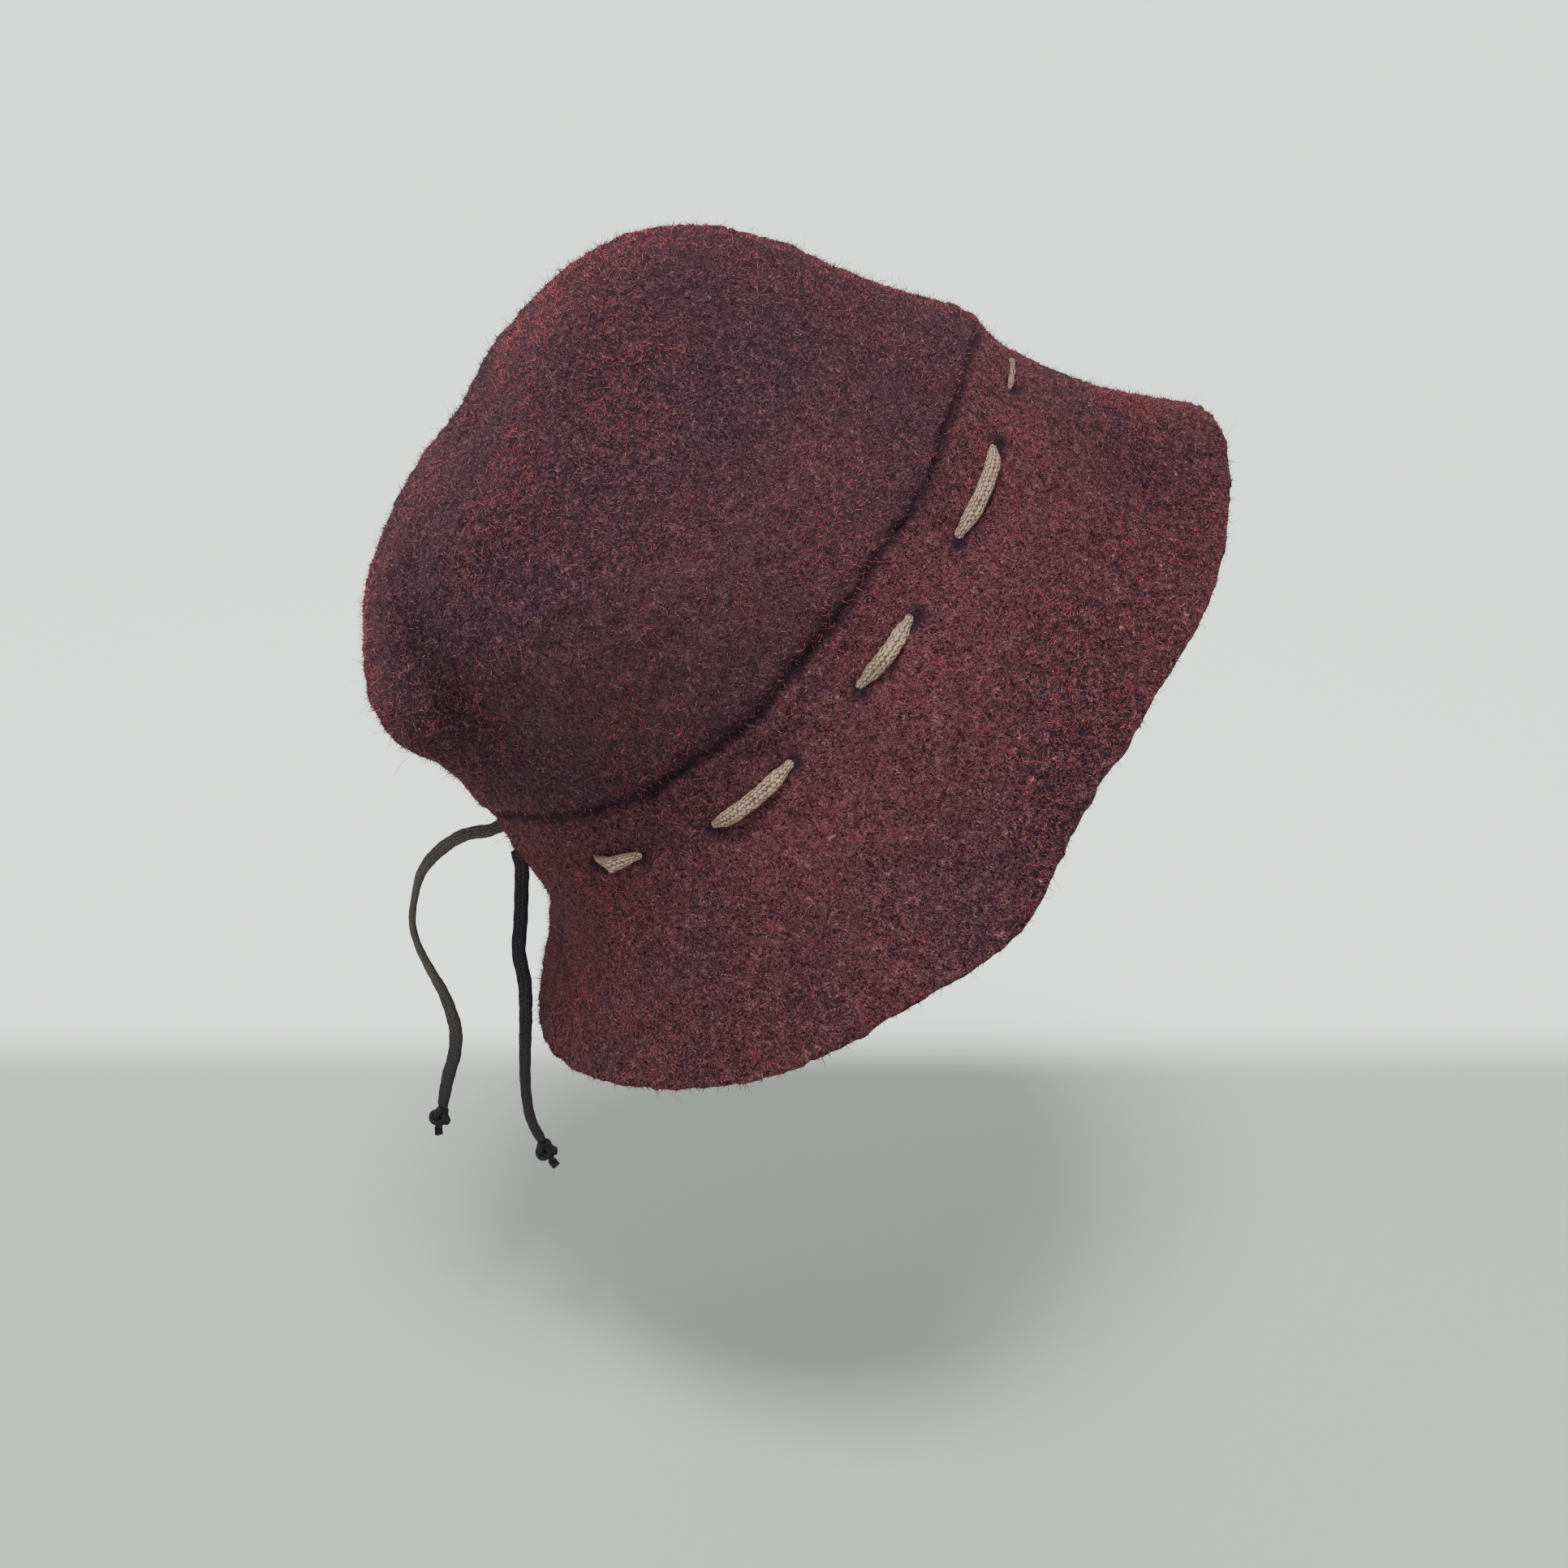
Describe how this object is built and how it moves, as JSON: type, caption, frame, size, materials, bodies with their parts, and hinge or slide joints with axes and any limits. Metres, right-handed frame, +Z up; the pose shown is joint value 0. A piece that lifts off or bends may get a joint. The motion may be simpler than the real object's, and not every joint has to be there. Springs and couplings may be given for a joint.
{
  "type": "felt drawcord hat",
  "caption": "Soft felt hat with a rounded crown, flared wavy brim, and a flat drawcord laced round the band with knotted ties at the back.",
  "frame": {"origin": "middle of the band, where the hat sits on the head", "axes": "+Z straight up, the way the ties hang down from; +X level, towards the hat's front; +Y level, towards its left side. The hat itself is tilted back 42.2 degrees and leans 3.2 degrees to its right, as it is worn"},
  "size_m": [0.2582, 0.2368, 0.3011],
  "materials": {
    "crown_felt": "fuzzy boiled wool felt, mottled burgundy",
    "brim_felt": "fuzzy boiled wool felt, mottled burgundy, slightly redder",
    "braid": "flat braided cord, taupe, matte",
    "dark_braid": "flat braided cord, dark greenish grey, matte"
  },
  "bodies": {
    "root": {"crown": "crown_felt", "brim": "brim_felt", "drawcord": "braid", "tie_left": "dark_braid", "tie_right": "dark_braid", "knot_left": "dark_braid", "knot_right": "dark_braid"}
  },
  "joints": []
}
